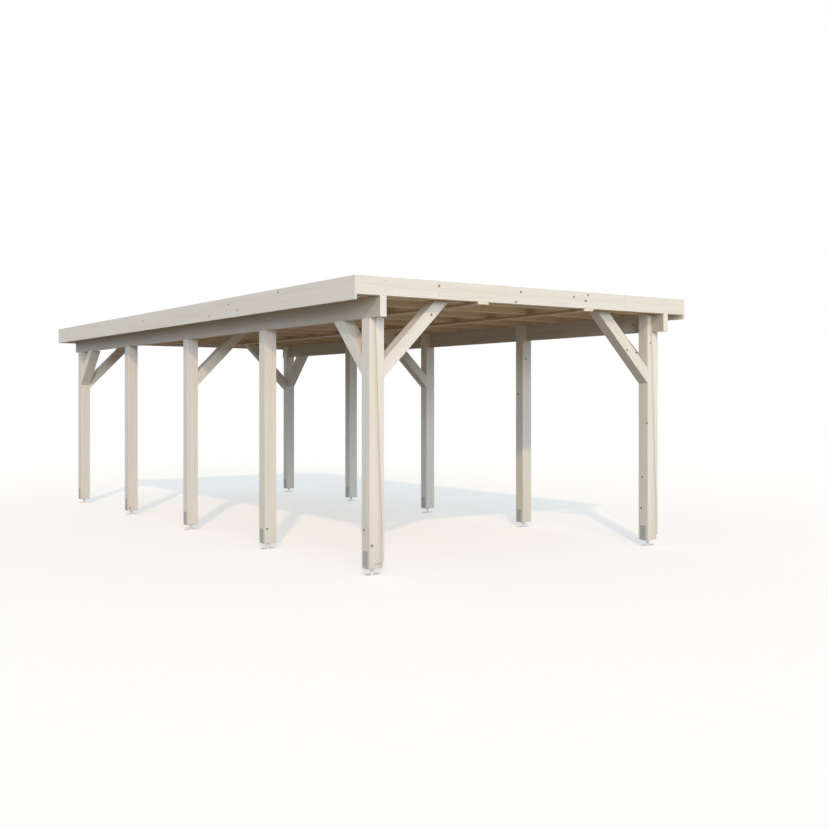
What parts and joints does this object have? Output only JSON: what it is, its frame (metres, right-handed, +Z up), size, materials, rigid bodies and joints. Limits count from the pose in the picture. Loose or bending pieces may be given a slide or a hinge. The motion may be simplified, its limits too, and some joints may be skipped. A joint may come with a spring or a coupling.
{
  "type": "carport",
  "caption": "Free-standing flat-roof timber carport: square posts on steel bases carry side beams, knee braces, rafters, deck and fascia boards.",
  "frame": {"origin": "on the ground below the middle of the roof", "axes": "+X to the right seen from the front, +Y along the carport from front to rear, +Z up"},
  "size_m": [3.71, 7.82, 2.371],
  "materials": {
    "pale_spruce": "matte",
    "spruce_deck": "matte",
    "galvanised_steel": "satin",
    "roofing_felt": "matte"
  },
  "bodies": {
    "root": {"front_left_post": "pale_spruce", "front_left_post_base": "galvanised_steel", "second_left_post": "pale_spruce", "second_left_post_base": "galvanised_steel", "middle_left_post": "pale_spruce", "middle_left_post_base": "galvanised_steel", "fourth_left_post": "pale_spruce", "fourth_left_post_base": "galvanised_steel", "rear_left_post": "pale_spruce", "rear_left_post_base": "galvanised_steel", "front_right_post": "pale_spruce", "front_right_post_base": "galvanised_steel", "second_right_post": "pale_spruce", "second_right_post_base": "galvanised_steel", "middle_right_post": "pale_spruce", "middle_right_post_base": "galvanised_steel", "fourth_right_post": "pale_spruce", "fourth_right_post_base": "galvanised_steel", "rear_right_post": "pale_spruce", "rear_right_post_base": "galvanised_steel", "front_left_post_batten": "pale_spruce", "left_side_beam": "pale_spruce", "front_left_cross_brace": "pale_spruce", "middle_left_cross_brace": "pale_spruce", "rear_left_cross_brace": "pale_spruce", "front_left_long_brace": "pale_spruce", "rear_left_long_brace": "pale_spruce", "left_tie_board": "pale_spruce", "left_fascia": "pale_spruce", "front_right_post_batten": "pale_spruce", "right_side_beam": "pale_spruce", "front_right_cross_brace": "pale_spruce", "middle_right_cross_brace": "pale_spruce", "rear_right_cross_brace": "pale_spruce", "front_right_long_brace": "pale_spruce", "rear_right_long_brace": "pale_spruce", "right_tie_board": "pale_spruce", "right_fascia": "pale_spruce", "front_fascia": "pale_spruce", "rear_fascia": "pale_spruce", "rafters": "pale_spruce", "roof_deck": "spruce_deck", "roofing_felt": "roofing_felt"}
  },
  "joints": []
}
